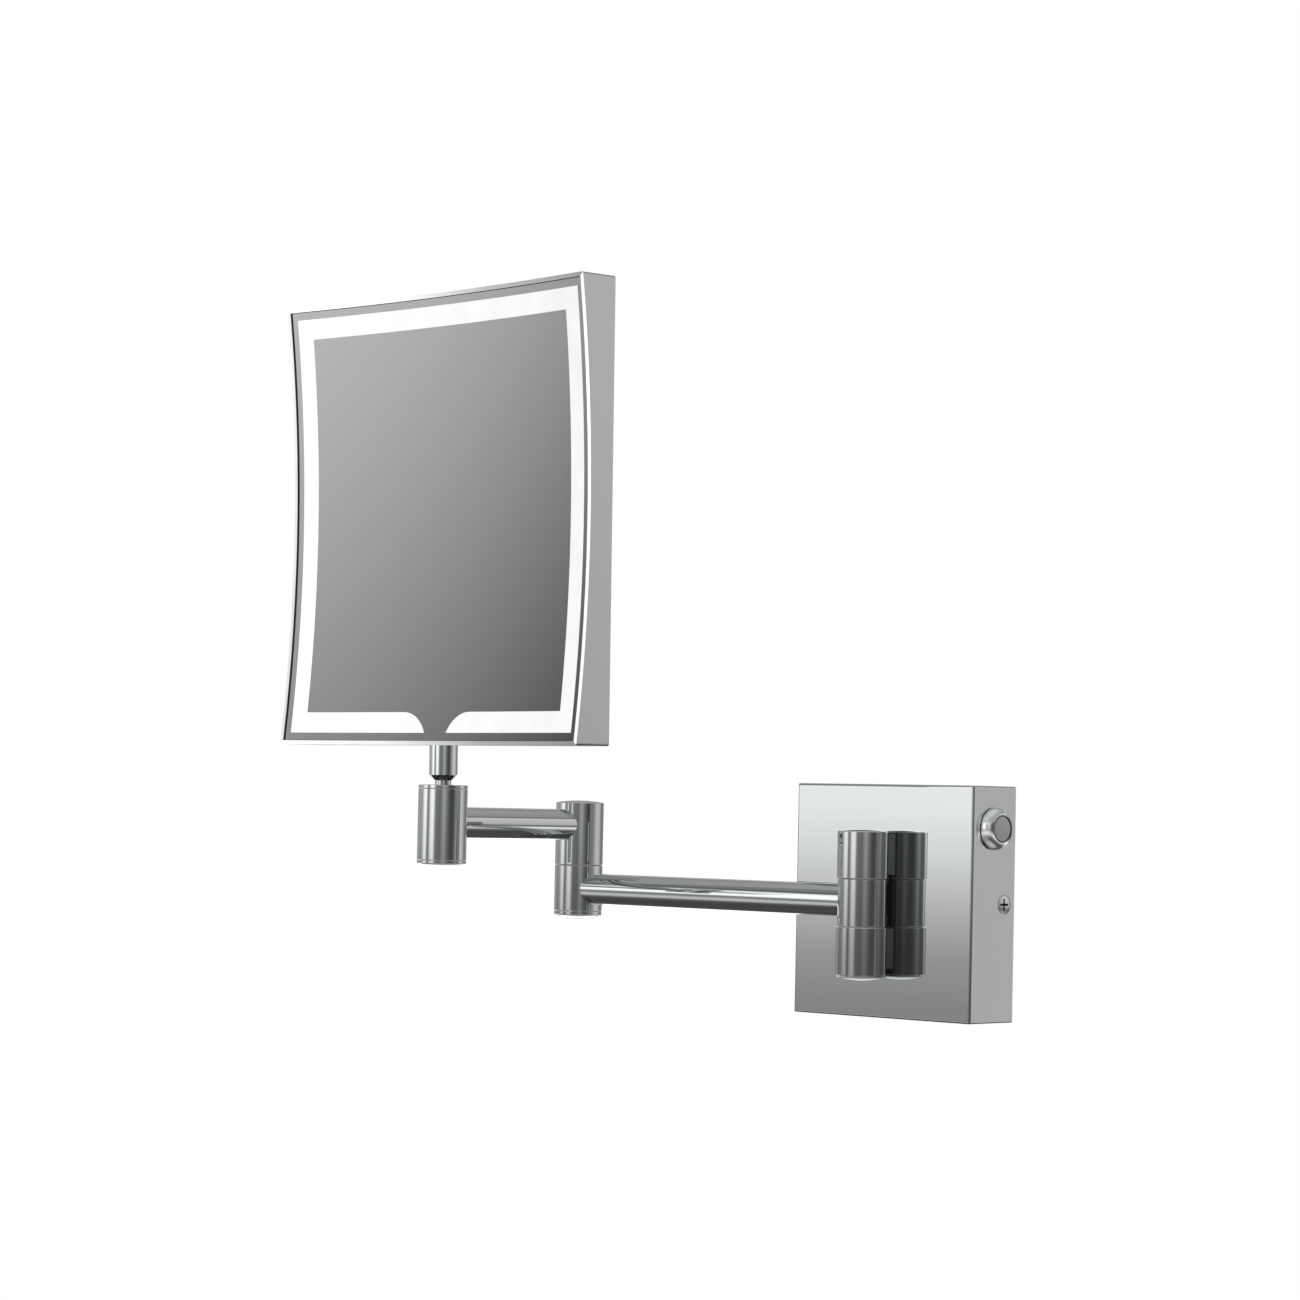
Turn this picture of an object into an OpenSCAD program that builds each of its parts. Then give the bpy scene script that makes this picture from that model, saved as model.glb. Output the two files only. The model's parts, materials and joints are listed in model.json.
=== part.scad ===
// Wall-mounted extendable shaving mirror: a square wall box with a push switch, two swinging
// arms on vertical hinge pins and a square, softly concave, lit mirror on a friction ball joint.
// Origin: centre of the wall face. +X to the right, -Y out of the wall, +Z up.

/* [Wall box] */
// Width and height of the wall box
box_w = 100; // [90:1:120]
// How far the wall box stands out of the wall
box_d = 28; // [27:0.5:34]
// Sheet thickness of the cover
box_wall = 2; // [1.5:0.25:2.5]
// Radius of the cover's outer edges
box_edge = 1; // [0.5:0.25:1.5]
// Distance between the wall screws, both ways
fixing_pitch = 76; // [72:1:78]

/* [Wall hinge] */
// Distance from the cover's front to the hinge axis
hinge_out = 12.7; // [12:0.1:16]
// Radius of every hinge barrel
barrel_r = 10.9; // [10.6:0.1:12]
// Radius of the arm's own barrel between the two lugs
eye_r = 10.4; // [10:0.1:10.9]

/* [Arms] */
// Length of the first arm, axis to axis
arm1_len = 174; // [140:1:220]
// Length of the second arm, axis to axis
arm2_len = 84.6; // [80:0.2:110]
// Height of the second arm over the first
arm2_z = 29.2; // [28.6:0.1:30]
// Outer radius of both arm tubes
tube_r = 7; // [6.5:0.1:7.4]
// Wall of both arm tubes
tube_wall = 1.5; // [1:0.1:2]

/* [Head] */
// Width and height of the mirror head
head_w = 201; // [190:1:220]
// Depth of the head at its corners
head_d = 19; // [19:0.5:24]
// Radius of the concave mirror face
mirror_radius = 800; // [780:10:1200]
// Width of the frame's bright front rim
rim_w = 1.9; // [1.4:0.1:2.2]
// From the head's outline to the lit band
band_inset = 5.5; // [4.5:0.5:7]
// Width of the lit band
band_w = 9.2; // [8:0.1:10]
// Thickness of the glass
glass_t = 2.8; // [2.5:0.1:2.9]
// Turn of the head on its stem as it is set
head_pan = -1.2; // [-5:0.1:5]
// Lean of the head's top towards the room as it is set
head_tilt = 0.6; // [-3:0.1:3]

/* [Switch] */
// Height of the switch over the middle of the box
switch_z = 32; // [28:1:34]
// Distance from the wall to the switch axis
switch_y = 14; // [13:0.5:14]
// Travel of the push button
button_travel = 2; // [1:0.5:2]

/* [Hidden] */
$fn = 96;
eps = 0.01;

// Heights and axes of the joints
hinge_y = -(box_d + hinge_out);
elbow_x = -arm1_len;
socket_y = hinge_y - arm2_len;
lug_gap = 0.3;
upper_lug_z = [9.65, 29.8];
lower_lug_z = [-31.5, -11.1];
web_w = 10;
web_inset = 1.8;
web_short = 3;
lug_thread_l = 7;
pin_lead_bore_r = 1.3;
dome_h = 0.85;
cap_dome_h = 1.5;
plain_edge = 0.25;
cap_gap = 0.15;
elbow_z = [-12.8, -10.1, 10.6, 39.5];
socket_z = [10.5, 12.6, 44.2, 45.9];
pin_r = 5;
pin_bore_r = 2.2;
pin_head_r = 7.4;
elbow_bore_r = 8.4;
elbow_pin_z = [-2.2, 10.3];
running_gap = 0.05;

// Friction ball joint
ball_r = 8;
ball_z = 37;
ball_play = 0.05;
neck_r = 3.6;
neck_top = 10.9;
cone_top = 13.3;
stem_r = 6.3;
spigot_r = 2;
lead_bore_r = 1.25;
socket_r = 8.75;
socket_top_z = 42.05;
mouth_r = 6.9;
collar_bore_r = 7.5;
cup_z = [25, 33];
seat_z = [38.5, 42];
seat_bore_r = 6.3;
bush_r = 3.2;
spring_zs = [17.6, 21.3];
cup_spring_r = 8.2;
cup_spring_bore = 4;
cup_spring_t = 0.9;
elbow_spring_r = 7.8;
elbow_spring_t = 0.5;
elbow_spring_lift = 0.4;
hex_r = 3;

// Leads
lead_r = 1;
arm1_lead_z = -4.2;
arm2_lead_z = 26.5;
web_lead_z = 20.5;
lead_joint_z = [2, -3];
wire_r = 0.8;

// Inside the wall box
plate_t = 1.5;
plate_w = box_w - 10;
backing = [32, 3, 72];
driver = [[-28, -19.8, -44], [24, -3.5, -8]];
driver_screw_xs = [-18, 14];
driver_screw_z = -26;
driver_screw_r = 1.25;
block = [[-28, -16, 16], [-2, -3, 34]];
pole_w = 8;
screw_z = 25;
grommet_at = [-15, 4];
grommet_r = 6;
cable_bore_r = 3.2;
fixing_bore_r = 2.75;
front_wall = 2.5;
pole_x = 5;
divider_x = 8.4;
divider = [1.2, 5, 20];
terminal_bore_r = 2.2;
terminal_screw_r = 1.9;
label_in = 4;
label_deep = 0.6;
feed_x = 20;
return_x = 16;
supply_at = [-20, -10];
side_screw_y = -6.6;
side_screw_head_r = 4.2;
side_screw_r = 1.95;
side_screw_bore_r = 2.15;
lug_bolt_r = 2;
lug_bolt_bore_r = 2.15;
lead_bore = 1.5;
lug_screw_zs = [15, 26, -15.5, -25];
blade_at = [[-14, 29], [-10, 35]];

// Switch, along its own axis out of the cover's side
bezel_r = 9.1;
bezel_dome_r = 4.4;
switch_seal_t = 0.4;
thread_r = 8;
button_bore_r = 5.95;
button_r = 5.3;
button_top_z = 4.6;
button_low_z = 2.8;
skirt_z = -9;
plunger_z = -16.8;
housing_z = [-22, -12];
blade = [0.8, 2.8, 10.8];

// The head, in its own frame: y runs back from the plane of its four front corners
head_edge = 1.1;
stem_y = 12.9;
head_up = 126.9;
half = head_w / 2;
face_y = -sqrt(mirror_radius * mirror_radius - 2 * half * half);
recess = 0.5;
glass_back = recess + glass_t;
seal_t = 0.8;
ledge_t = 2.2;
ledge_w = 3;
cover_t = 1.8;
board_y = 15.4;
diffuser_gap = 0.7;
diffuser_t = 1.8;
boss_at = half - 9;
notch_r = 16.25;
notch_x = 22;
leds_per_side = 18;
led_row = 168;
led_w = 2.8;
led_h = 0.7;
board_in = 14;
board_w = 8;
tray_in = 34;
tray_wall_in = 20.5;
tray_foot_in = 28;
back_screw_r = 1.2;
back_screw_head_r = 2.6;
back_screw_l = 7.5;
lead_turn = [13.2, 14];
set_screw_r = 1.25;
set_screw_z = 6;
set_screw_l = head_d - cover_t - 0.2 - stem_y - spigot_r;
set_screw_hex = [0.75, 0.8];
spigot_h = 7.5;
stem_block = [18, 8.8];

// ---------- shared shapes ----------

// Solid of revolution about +Z between z0 and z1. A domed end has the rounding rim, a plain end
// the smaller rounding plain_edge
module turned(r, z0, z1, rim = 0.5, dome0 = 0, dome1 = 0) {
    h = z1 - z0;
    edge0 = dome0 > 0 ? rim : plain_edge;
    edge1 = dome1 > 0 ? rim : plain_edge;
    rotate_extrude() intersection() {
        translate([0, z0 - dome0]) square([r, h + dome0 + dome1]);
        union() {
            translate([0, z0]) square([r - max(edge0, edge1), h]);
            translate([0, z0 + edge0]) square([r, h - edge0 - edge1]);
            rounded_end(r, z0, edge0, 1);
            rounded_end(r, z1, edge1, -1);
            if (dome0 > 0) dome_cap(r - rim, z0, dome0, 1);
            if (dome1 > 0) dome_cap(r - rim, z1, dome1, -1);
        }
    }
}

// Outline of one end of a barrel: its rounding and the flat inside that, at z on side s
module rounded_end(r, z, edge, s) {
    translate([r - edge, z + s * edge]) circle(r = edge);
    translate([0, s > 0 ? z : z - edge]) square([r - edge, edge]);
}

// Outline of a shallow dome of height h over radius a, its foot at z, its centre on side s
module dome_cap(a, z, h, s) {
    cap_r = (a * a + h * h) / (2 * h);
    intersection() {
        translate([0, z + s * (cap_r - h)]) circle(r = cap_r, $fn = 720);
        translate([0, s > 0 ? z - h : z - eps]) square([a, h + eps]);
    }
}

module ring(r, bore, z0, z1) {
    translate([0, 0, z0]) difference() {
        cylinder(r = r, h = z1 - z0);
        translate([0, 0, -1]) cylinder(r = bore, h = z1 - z0 + 2);
    }
}

// Conical disc spring, its inner rim at z0 and its outer rim lift higher
module disc_spring(r, bore, z0, t, lift) {
    rotate_extrude() polygon([[bore, z0], [r, z0 + lift], [r, z0 + lift + t], [bore, z0 + t]]);
}

module rod(from, to, r) {
    d = to - from;
    translate(from) rotate([0, acos(d[2] / norm(d)), atan2(d[1], d[0])])
        cylinder(r = r, h = norm(d));
}

// A lead of radius r through a list of points, with round corners
module lead(points, r) {
    for (i = [1 : len(points) - 1]) rod(points[i - 1], points[i], r);
    for (i = [1 : 1 : len(points) - 2]) translate(points[i]) sphere(r = r, $fn = 48);
}

module block_between(low, high) {
    translate(low) cube(high - low);
}

module rounded_rect(w, h, r) {
    square([w - 2 * r, h], center = true);
    square([w, h - 2 * r], center = true);
    for (x = [-1, 1], y = [-1, 1]) translate([x * (w / 2 - r), y * (h / 2 - r)]) circle(r = r);
}

// Box with its back on y = 0 and its outer edges rounded, standing out to y = -d
module soft_box(w, d, r) {
    intersection() {
        rotate([90, 0, 0]) linear_extrude(d) rounded_rect(w, w, r);
        translate([0, 0, -w / 2]) linear_extrude(w) rounded_rect(w, 2 * d, r);
        translate([-w / 2, 0, 0]) rotate([90, 0, 90]) linear_extrude(w) rounded_rect(2 * d, w, r);
    }
}

module at_hinge() { translate([0, hinge_y, 0]) children(); }
module at_elbow() { translate([elbow_x, hinge_y, 0]) children(); }
module at_socket() { translate([elbow_x, socket_y, 0]) children(); }
module at_switch() { translate([box_w / 2, -switch_y, switch_z]) rotate([0, 90, 0]) children(); }

// ---------- wall box ----------

module mounting_plate() {
    tab_out = box_w / 2 - box_wall - 1.5;
    tab_h = 24;
    tab_reach = 13;
    tab_foot = 4;
    color("silver") difference() {
        union() {
            translate([-plate_w / 2, -plate_t, -plate_w / 2]) cube([plate_w, plate_t, plate_w]);
            for (s = [0, 1]) mirror([s, 0, 0]) {
                translate([tab_out - plate_t, -tab_reach, -tab_h / 2])
                    cube([plate_t, tab_reach, tab_h]);
                translate([tab_out - tab_foot, -plate_t, -tab_h / 2])
                    cube([tab_foot, plate_t, tab_h]);
            }
        }
        for (x = [-1, 1], z = [-1, 1])
            plate_bore(x * fixing_pitch / 2, z * fixing_pitch / 2, fixing_bore_r);
        plate_bore(grommet_at[0], grommet_at[1], grommet_r);
        for (x = driver_screw_xs) plate_bore(x, driver_screw_z, driver_screw_r);
        translate([-box_w, side_screw_y, 0]) rotate([0, 90, 0])
            cylinder(r = side_screw_r + running_gap, h = 2 * box_w);
    }
}

// Hole of radius r right through the mounting plate
module plate_bore(x, z, r) {
    translate([x, 1, z]) rotate([90, 0, 0]) cylinder(r = r, h = plate_t + 2);
}

module cable_grommet() {
    color("dimgray") translate([grommet_at[0], 0, grommet_at[1]]) rotate([90, 0, 0]) difference() {
        union() {
            cylinder(r = grommet_r, h = plate_t);
            translate([0, 0, plate_t]) cylinder(r1 = grommet_r + 2, r2 = grommet_r + 0.5, h = 3);
        }
        translate([0, 0, -1]) cylinder(r = cable_bore_r, h = 8);
    }
}

module terminal_block() {
    color("whitesmoke") difference() {
        block_between(block[0], block[1]);
        for (i = [0 : 2]) translate([block[0][0] + pole_x + i * pole_w, block[0][1] - 1, screw_z])
            rotate([-90, 0, 0]) cylinder(r = terminal_bore_r, h = 6);
        for (i = [0 : 1])
            translate([block[0][0] + divider_x + i * pole_w, block[0][1] - 1, block[0][2] - 1])
            cube(divider);
    }
}

module terminal_screws() {
    color("gold") for (i = [0 : 2])
        translate([block[0][0] + pole_x + i * pole_w, block[0][1] + 1.5, screw_z])
        rotate([-90, 0, 0]) difference() {
            cylinder(r = terminal_screw_r, h = 3.4);
            translate([-2.5, -0.3, -1]) cube([5, 0.6, 1.8]);
        }
}

module led_driver() {
    color("white") difference() {
        block_between(driver[0], driver[1]);
        for (x = driver_screw_xs) translate([x, 0, driver_screw_z]) rotate([90, 0, 0])
            cylinder(r = driver_screw_r + running_gap, h = 9);
        translate([driver[0][0] + label_in, driver[0][1] - 1, driver[0][2] + label_in])
            cube([driver[1][0] - driver[0][0] - 2 * label_in, 1 + label_deep,
                driver[1][2] - driver[0][2] - 2 * label_in]);
    }
}

module driver_screws() {
    color("silver") for (x = driver_screw_xs) translate([x, -0.2, driver_screw_z])
        rotate([90, 0, 0]) cylinder(r = driver_screw_r, h = 8.5);
}

module internal_wires() {
    color("firebrick") {
        rod([block[1][0], blade_at[0][0], blade_at[0][1]], [feed_x, blade_at[0][0], blade_at[0][1]],
            wire_r);
        lead([[feed_x, blade_at[1][0], blade_at[1][1]], [return_x, blade_at[1][0], blade_at[1][1]],
            [return_x, blade_at[1][0], driver[1][2]]], wire_r);
        rod([supply_at[0], supply_at[1], block[0][2]], [supply_at[0], supply_at[1], driver[1][2]],
            wire_r);
    }
}

module cover() {
    inner = box_w - 2 * box_wall;
    color("gainsboro") difference() {
        soft_box(box_w, box_d, box_edge);
        translate([-inner / 2, -(box_d - front_wall), -inner / 2]) cube([inner, box_d, inner]);
        at_switch() translate([0, 0, -6]) cylinder(r = thread_r + 0.1, h = 10);
        for (s = [-1, 1]) translate([s * box_w / 2, side_screw_y, 0]) rotate([0, -s * 90, 0])
            side_screw_hole();
        for (z = lug_screw_zs) translate([0, -box_d - 1, z]) rotate([-90, 0, 0])
            cylinder(r = lug_bolt_bore_r, h = 5);
        translate([0, -box_d - 1, web_lead_z]) rotate([-90, 0, 0]) cylinder(r = lead_bore, h = 5);
    }
}

module side_screw_hole() {
    translate([0, 0, -eps])
        cylinder(r1 = side_screw_head_r + running_gap, r2 = side_screw_bore_r, h = 1.7);
    cylinder(r = side_screw_bore_r, h = 4);
}

module side_screws() {
    color("silver") for (s = [-1, 1])
        translate([s * (box_w / 2 - 0.05), side_screw_y, 0]) rotate([0, -s * 90, 0]) difference() {
            union() {
                cylinder(r1 = side_screw_head_r, r2 = side_screw_r, h = 1.6);
                cylinder(r = side_screw_r, h = 9);
            }
            for (a = [0, 90]) rotate([0, 0, a]) translate([-2.6, -0.5, -1]) cube([5.2, 1, 2]);
        }
}

// ---------- switch ----------

module switch_bezel() {
    color("gainsboro") at_switch() difference() {
        union() {
            rotate_extrude() intersection() {
                translate([0, switch_seal_t]) square([bezel_r, bezel_dome_r]);
                union() {
                    square([bezel_r - bezel_dome_r, switch_seal_t + bezel_dome_r]);
                    square([bezel_r, 1]);
                    translate([bezel_r - bezel_dome_r, switch_seal_t]) circle(r = bezel_dome_r);
                }
            }
            translate([0, 0, -12]) cylinder(r = thread_r, h = 12 + switch_seal_t + 0.1);
        }
        translate([0, 0, -13]) cylinder(r = button_bore_r, h = 20);
    }
}

module switch_seal() {
    color("black") at_switch() ring(bezel_r - 0.1, thread_r + running_gap, 0, switch_seal_t);
}

module switch_nut() {
    nut_t = 2.5;
    nut_r = 10.6;
    color("silver") at_switch() translate([0, 0, -box_wall - nut_t]) difference() {
        rotate([0, 0, 30]) cylinder(r = nut_r, h = nut_t, $fn = 6);
        translate([0, 0, -1]) cylinder(r = thread_r, h = nut_t + 2);
    }
}

module switch_body() {
    color("dimgray") at_switch() difference() {
        translate([0, 0, housing_z[0]]) cylinder(r = thread_r - 0.2, h = housing_z[1] - housing_z[0]);
        translate([0, 0, housing_z[0] + 3]) cylinder(r = button_bore_r, h = 8);
        for (b = blade_at) translate([switch_z - b[1], b[0] + switch_y, housing_z[0] - 1])
            translate([-blade[0] / 2, -blade[1] / 2, 0]) cube([blade[0], blade[1], 5]);
    }
}

module switch_terminals() {
    color("gold") at_switch() for (b = blade_at)
        translate([switch_z - b[1] - blade[0] / 2, b[0] + switch_y - blade[1] / 2, -30]) cube(blade);
}

// Return spring of the button: a wire swept along a helix
module switch_spring() {
    turns = 5;
    steps = 14;
    sides = 6;
    coil_r = 3.4;
    spring_wire_r = 0.3;
    low = -18.6;
    high = -9.4;
    count = turns * steps;
    points = [for (i = [0 : count]) let (a = 360 * i / steps, z = low + (high - low) * i / count)
        for (j = [0 : sides - 1]) let (b = 360 * j / sides, q = coil_r + spring_wire_r * cos(b))
            [q * cos(a), q * sin(a), z + spring_wire_r * sin(b)]];
    walls = [for (i = [0 : count - 1], j = [0 : sides - 1]) let (k = (j + 1) % sides)
        [i * sides + j, (i + 1) * sides + j, (i + 1) * sides + k, i * sides + k]];
    ends = [[for (j = [0 : sides - 1]) j], [for (j = [sides - 1 : -1 : 0]) count * sides + j]];
    color("silver") at_switch() polyhedron(points, concat(walls, ends));
}

module switch_button() {
    color("darkgray") at_switch() {
        turned(button_r, button_low_z, button_top_z, 0.4, 0, 0.15);
        translate([0, 0, skirt_z])
            cylinder(r = button_bore_r - running_gap, h = button_low_z - skirt_z + 0.1);
        translate([0, 0, plunger_z]) cylinder(r = 2, h = skirt_z - plunger_z + 0.2);
    }
}

// ---------- wall hinge ----------

module backing_plate() {
    color("silver") difference() {
        translate([-backing[0] / 2, -box_d + front_wall, -backing[2] / 2]) cube(backing);
        for (z = lug_screw_zs) translate([0, -box_d, z]) rotate([-90, 0, 0])
            cylinder(r = lug_bolt_bore_r, h = 8);
        translate([0, -box_d, web_lead_z]) rotate([-90, 0, 0]) cylinder(r = lead_bore, h = 8);
    }
}

module lug_screws() {
    head_y = -box_d + front_wall + backing[1];
    color("silver") for (z = lug_screw_zs) translate([0, head_y, z]) rotate([90, 0, 0])
        difference() {
            union() {
                translate([0, 0, -2.2]) cylinder(r = 3.5, h = 2.2);
                cylinder(r = lug_bolt_r, h = 11.5);
            }
            for (a = [0, 90]) rotate([0, 0, a]) translate([-2, -0.4, -3]) cube([4, 0.8, 2]);
        }
}

module web(z0, z1) {
    reach = hinge_out - web_short;
    translate([-web_w / 2, -box_d - reach, z0]) cube([web_w, reach, z1 - z0]);
}

module lug_holes() {
    for (z = lug_screw_zs) translate([0, -box_d + 1, z]) rotate([90, 0, 0])
        cylinder(r = lug_bolt_r, h = lug_thread_l + 1);
}

module upper_lug() {
    color("gainsboro") difference() {
        union() {
            at_hinge() turned(barrel_r, upper_lug_z[0], upper_lug_z[1], 0.5, 0, dome_h);
            web(upper_lug_z[0] + web_inset, upper_lug_z[1] - 0.8);
        }
        at_hinge() translate([0, 0, upper_lug_z[0] - 1]) cylinder(r = pin_r, h = 18.4);
        lug_holes();
        translate([0, -box_d + 1, web_lead_z]) rotate([90, 0, 0]) cylinder(r = pin_lead_bore_r, h = 12);
    }
}

module lower_lug() {
    color("gainsboro") difference() {
        union() {
            at_hinge() turned(barrel_r, lower_lug_z[0], lower_lug_z[1]);
            web(lower_lug_z[0] + web_inset + 1, lower_lug_z[1] - 0.5);
        }
        at_hinge() translate([0, 0, lower_lug_z[0] - 1]) cylinder(r = pin_r, h = 30);
        at_hinge() translate([0, 0, lower_lug_z[0] - 1]) cylinder(r = pin_head_r + 0.1, h = 4);
        lug_holes();
    }
}

module wall_pin() {
    foot = lower_lug_z[0] + 0.2;
    head_top = lower_lug_z[0] + 3;
    window_h = 3.2;
    color("silver") at_hinge() difference() {
        union() {
            translate([0, 0, foot]) cylinder(r = pin_head_r, h = head_top - foot);
            translate([0, 0, foot]) cylinder(r = pin_r, h = 26.8 - foot);
        }
        translate([0, 0, foot + 5]) cylinder(r = pin_bore_r, h = 60);
        translate([0, 0, foot - 1]) cylinder(r = hex_r, h = 3, $fn = 6);
        translate([-pin_r - 1, -pin_r - 1, arm1_lead_z - window_h / 2])
            cube([2 * pin_r + 2, 7.6, window_h]);
        translate([0, 0, web_lead_z]) rotate([-90, 0, 0]) cylinder(r = pin_lead_bore_r, h = 8);
    }
}

module wall_washers() {
    color("ivory") at_hinge() {
        ring(9.8, pin_r + running_gap, upper_lug_z[0] - lug_gap, upper_lug_z[0]);
        ring(9.8, pin_r + running_gap, lower_lug_z[1], lower_lug_z[1] + lug_gap);
    }
}

module pin_cap() {
    color("gainsboro") at_hinge() {
        turned(barrel_r - 0.2, lower_lug_z[0] - 0.75, lower_lug_z[0] - cap_gap, 0.3, cap_dome_h, 0);
        translate([0, 0, lower_lug_z[0] - 0.5]) cylinder(r = pin_head_r + running_gap, h = 0.65);
    }
}

module lead_wall() {
    color("black") lead([[0, -17, driver[1][2]], [0, -17, web_lead_z], [0, hinge_y, web_lead_z],
        [0, hinge_y, lead_joint_z[0]]], lead_r);
}

// ---------- first arm ----------

module arm1_barrel() {
    color("gainsboro") at_hinge() difference() {
        turned(eye_r, lower_lug_z[1] + lug_gap, upper_lug_z[0] - lug_gap);
        translate([0, 0, -20]) cylinder(r = pin_r + running_gap, h = 40);
        rotate([0, -90, 0]) cylinder(r = tube_r - tube_wall, h = 20);
    }
}

module arm1_tube() {
    color("gainsboro") difference() {
        at_hinge() rotate([0, -90, 0]) difference() {
            cylinder(r = tube_r, h = arm1_len);
            cylinder(r = tube_r - tube_wall, h = arm1_len);
        }
        at_hinge() translate([0, 0, -20]) cylinder(r = eye_r, h = 40);
        at_elbow() translate([0, 0, -20]) cylinder(r = barrel_r, h = 40);
    }
}

module elbow_lower() {
    color("gainsboro") at_elbow() difference() {
        turned(barrel_r, elbow_z[1], elbow_z[2]);
        translate([0, 0, elbow_z[1] - 1]) cylinder(r = elbow_bore_r, h = 14.1);
        translate([0, 0, -20]) cylinder(r = pin_r + running_gap, h = 40);
        rotate([0, 90, 0]) cylinder(r = tube_r - tube_wall, h = 20);
    }
}

module elbow_cap() {
    color("gainsboro") at_elbow() {
        turned(barrel_r - 0.1, elbow_z[0] + 0.6, elbow_z[1] - cap_gap, 0.6, cap_dome_h, 0);
        translate([0, 0, elbow_z[1] - 0.5]) cylinder(r = elbow_bore_r - running_gap, h = 2.6);
    }
}

module lead_arm1() {
    color("black") lead([[0, hinge_y, lead_joint_z[0]], [0, hinge_y, arm1_lead_z],
        [elbow_x, hinge_y, arm1_lead_z], [elbow_x, hinge_y, lead_joint_z[1]]], lead_r);
}

// ---------- second arm ----------

module elbow_upper() {
    color("gainsboro") at_elbow() difference() {
        turned(barrel_r, elbow_z[2] + lug_gap, elbow_z[3], 0.5, 0, dome_h);
        translate([0, 0, elbow_z[2]]) cylinder(r = pin_r, h = elbow_pin_z[1]);
        translate([0, 0, elbow_z[2]]) cylinder(r = 3, h = 18);
        translate([0, 0, arm2_z]) rotate([90, 0, 0]) cylinder(r = tube_r - tube_wall, h = 20);
    }
}

module elbow_pin() {
    color("silver") at_elbow() ring(pin_r, pin_bore_r, elbow_pin_z[0], elbow_z[2] + elbow_pin_z[1]);
}

module elbow_nut() {
    color("silver") at_elbow() translate([0, 0, -1.8]) difference() {
        cylinder(r = 7.5, h = 3, $fn = 6);
        translate([0, 0, -1]) cylinder(r = pin_r, h = 5);
    }
}

module elbow_springs() {
    color("darkgray") at_elbow() {
        disc_spring(elbow_spring_r, pin_r + 0.1, 1.2, elbow_spring_t, elbow_spring_lift);
        disc_spring(elbow_spring_r, pin_r + 0.1, 2.5, elbow_spring_t, -elbow_spring_lift);
    }
}

module elbow_washer() {
    color("ivory") at_elbow() ring(10.3, pin_r + running_gap, elbow_z[2], elbow_z[2] + lug_gap);
}

module arm2_tube() {
    color("gainsboro") difference() {
        at_elbow() translate([0, 0, arm2_z]) rotate([90, 0, 0]) difference() {
            cylinder(r = tube_r, h = arm2_len);
            cylinder(r = tube_r - tube_wall, h = arm2_len);
        }
        at_elbow() cylinder(r = barrel_r, h = 60);
        at_socket() cylinder(r = barrel_r, h = 60);
    }
}

module socket_barrel() {
    color("gainsboro") at_socket() difference() {
        turned(barrel_r, socket_z[1], socket_z[2] - 0.05);
        translate([0, 0, socket_z[1] - 1])
            cylinder(r = socket_r, h = socket_top_z - socket_z[1] + 1);
        cylinder(r = mouth_r, h = 60);
        translate([0, 0, arm2_z]) rotate([-90, 0, 0]) cylinder(r = tube_r - tube_wall, h = 20);
    }
}

module socket_collar() {
    color("gainsboro") at_socket() difference() {
        turned(barrel_r - 0.05, socket_z[2], socket_z[3], 0.4, 0, 0.01);
        cylinder(r = collar_bore_r, h = 60);
    }
}

module pressure_cup() {
    color("ivory") at_socket() difference() {
        translate([0, 0, cup_z[0]]) cylinder(r = socket_r - 0.05, h = cup_z[1] - cup_z[0]);
        translate([0, 0, ball_z]) sphere(r = ball_r + ball_play);
        translate([0, 0, 20]) cylinder(r = 1.6, h = 12);
        translate([-1.6, 0, 24]) cube([3.2, 12, 4.2]);
    }
}

module cup_springs() {
    color("darkgray") at_socket() for (z = spring_zs) {
        disc_spring(cup_spring_r, cup_spring_bore, z, cup_spring_t, cup_spring_t);
        disc_spring(cup_spring_r, cup_spring_bore, z + 3 * cup_spring_t, cup_spring_t, -cup_spring_t);
    }
}

module socket_plug() {
    color("gainsboro") at_socket() difference() {
        union() {
            turned(barrel_r - 0.05, socket_z[0] + 0.4, socket_z[1] - 0.1, 0.5, 0.4, 0);
            translate([0, 0, socket_z[1] - 0.3]) cylinder(r = socket_r, h = spring_zs[0] - socket_z[1] + 0.2);
        }
        translate([0, 0, socket_z[0] - 1]) cylinder(r = hex_r, h = 4, $fn = 6);
    }
}

module lead_arm2() {
    color("black") lead([[elbow_x, hinge_y, lead_joint_z[1]], [elbow_x, hinge_y, arm2_lead_z],
        [elbow_x, socket_y, arm2_lead_z], [elbow_x, socket_y, ball_z - 0.4]], lead_r);
}

// ---------- ball joint ----------

module ball_seat() {
    color("ivory") at_socket() difference() {
        translate([0, 0, seat_z[0]]) cylinder(r = socket_r - 0.05, h = seat_z[1] - seat_z[0]);
        translate([0, 0, ball_z]) sphere(r = ball_r + ball_play);
        translate([0, 0, seat_z[0] - 1]) cylinder(r = seat_bore_r, h = 6);
    }
}

module lead_bush() {
    color("ivory") at_socket() translate([0, 0, ball_z]) difference() {
        sphere(r = bush_r);
        translate([0, 0, -4]) cylinder(r1 = 2.1, r2 = lead_bore_r, h = 4 + eps);
        cylinder(r1 = lead_bore_r, r2 = 2.6, h = 4);
    }
}

// The head's own frame: origin at the middle of the plane of the head's front corners
module head_frame_of() {
    at_socket() translate([0, 0, ball_z]) rotate([head_tilt, 0, head_pan])
        translate([0, -stem_y, head_up]) children();
}

module on_stem_axis() { head_frame_of() translate([0, stem_y, -head_up]) children(); }

module ball() {
    color("silver") on_stem_axis() difference() {
        sphere(r = ball_r);
        translate([0, 0, -2.7]) cylinder(r = bush_r + running_gap, h = 2.7 + bush_r + 0.1);
        translate([0, 0, -9]) cylinder(r1 = 4.9, r2 = bush_r, h = 6.4);
        cylinder(r = spigot_r, h = 20);
    }
}

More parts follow.
